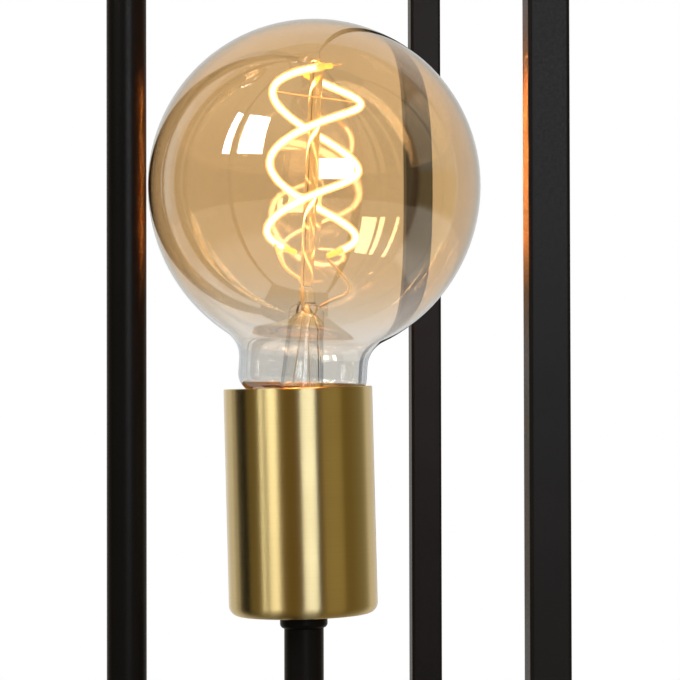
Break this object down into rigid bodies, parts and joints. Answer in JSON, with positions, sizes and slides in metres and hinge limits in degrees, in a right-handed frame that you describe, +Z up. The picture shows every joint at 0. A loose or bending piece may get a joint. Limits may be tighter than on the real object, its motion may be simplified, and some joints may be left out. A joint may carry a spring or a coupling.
{
  "type": "wire cage floor lamp",
  "caption": "Tall open cage floor lamp: square-tube frame on a weighted base, stepped round stems with brass cups and amber spiral-filament globe lamps that screw in and out.",
  "frame": {"origin": "on the floor, under the middle of the base", "axes": "+Z up, +X right as seen from the front, +Y to the back; the cord entry is at the back"},
  "size_m": [0.264, 0.264, 1.5008],
  "materials": {
    "black_coat": "fine matt powder coat",
    "satin_brass": "satin, brushed around the cup",
    "brass_parts": "pressed, bright",
    "cast_iron": "as cast",
    "rubber": "moulded, matt",
    "zinc_steel": "zinc plated",
    "black_plastic": "moulded, fine texture",
    "grey_plastic": "moulded",
    "wire_sheath": "extruded sheath",
    "porcelain": "glazed",
    "amber_glass": "clear blown, amber tint that fades at the neck",
    "clear_glass": "clear drawn",
    "filament": "lit phosphor coating",
    "nickel": "nickel plated",
    "insulator": "black vitreous insulator with a solder tip"
  },
  "bodies": {
    "stand": {"ballast": "cast_iron", "base_cover": "black_coat", "base_plate": "black_coat", "base_screws": "zinc_steel", "bracket_screws": "zinc_steel", "centre_contacts": "brass_parts", "collars": "black_coat", "cord_bush": "black_plastic", "cup_1": "satin_brass", "cup_2": "satin_brass", "cup_3": "satin_brass", "cup_4": "satin_brass", "earth_stud": "zinc_steel", "feet": "rubber", "holder_1": "porcelain", "holder_2": "porcelain", "holder_3": "porcelain", "holder_4": "porcelain", "holder_brackets": "zinc_steel", "nipples": "zinc_steel", "post_back_left": "black_coat", "post_back_right": "black_coat", "post_front_left": "black_coat", "post_front_right": "black_coat", "post_plugs": "zinc_steel", "post_screws": "zinc_steel", "screw_shells": "brass_parts", "stem_1": "black_coat", "stem_2": "black_coat", "stem_3": "black_coat", "stem_4": "black_coat", "stem_nuts": "zinc_steel", "terminal_block": "grey_plastic", "top_caps": "black_plastic", "top_rail_back": "black_coat", "top_rail_front": "black_coat", "top_rail_left": "black_coat", "top_rail_right": "black_coat", "wiring": "wire_sheath"},
    "bulb_1_lift": {"bulb_1_contact": "insulator"},
    "bulb_1": {"bulb_1_globe": "amber_glass", "bulb_1_cap": "nickel", "bulb_1_mount": "clear_glass", "bulb_1_filament": "filament"},
    "bulb_2_lift": {"bulb_2_contact": "insulator"},
    "bulb_2": {"bulb_2_globe": "amber_glass", "bulb_2_cap": "nickel", "bulb_2_mount": "clear_glass", "bulb_2_filament": "filament"},
    "bulb_3_lift": {"bulb_3_contact": "insulator"},
    "bulb_3": {"bulb_3_globe": "amber_glass", "bulb_3_cap": "nickel", "bulb_3_mount": "clear_glass", "bulb_3_filament": "filament"},
    "bulb_4_lift": {"bulb_4_contact": "insulator"},
    "bulb_4": {"bulb_4_globe": "amber_glass", "bulb_4_cap": "nickel", "bulb_4_mount": "clear_glass", "bulb_4_filament": "filament"}
  },
  "joints": [
    {"name": "bulb_1_thread", "type": "slide", "parent": "stand", "child": "bulb_1_lift", "axis": [-0.0628, 0, 0.998], "range_m": [0, 0.00998]},
    {"name": "bulb_1_turn", "type": "hinge", "parent": "bulb_1_lift", "child": "bulb_1", "pos_m": [-0.07873, 0, 0.75755], "axis": [-0.0628, 0, 0.998], "range_deg": [0, 990]},
    {"name": "bulb_2_thread", "type": "slide", "parent": "stand", "child": "bulb_2_lift", "axis": [0.0122, 0, 0.9999], "range_m": [0, 0.00998]},
    {"name": "bulb_2_turn", "type": "hinge", "parent": "bulb_2_lift", "child": "bulb_2", "pos_m": [-0.02477, 0, 1.29769], "axis": [0.0122, 0, 0.9999], "range_deg": [0, 990]},
    {"name": "bulb_3_thread", "type": "slide", "parent": "stand", "child": "bulb_3_lift", "axis": [0.061, 0, 0.9981], "range_m": [0, 0.00998]},
    {"name": "bulb_3_turn", "type": "hinge", "parent": "bulb_3_lift", "child": "bulb_3", "pos_m": [0.0285, 0, 1.02756], "axis": [0.061, 0, 0.9981], "range_deg": [0, 990]},
    {"name": "bulb_4_thread", "type": "slide", "parent": "stand", "child": "bulb_4_lift", "axis": [0.064, 0, 0.9979], "range_m": [0, 0.00998]},
    {"name": "bulb_4_turn", "type": "hinge", "parent": "bulb_4_lift", "child": "bulb_4", "pos_m": [0.07866, 0, 0.48754], "axis": [0.064, 0, 0.9979], "range_deg": [0, 990]}
  ],
  "couplings": [
    {"joint": "bulb_1_thread", "follows": "bulb_1_turn", "m_per_rad": 0.00057757},
    {"joint": "bulb_2_thread", "follows": "bulb_2_turn", "m_per_rad": 0.00057757},
    {"joint": "bulb_3_thread", "follows": "bulb_3_turn", "m_per_rad": 0.00057757},
    {"joint": "bulb_4_thread", "follows": "bulb_4_turn", "m_per_rad": 0.00057757}
  ]
}
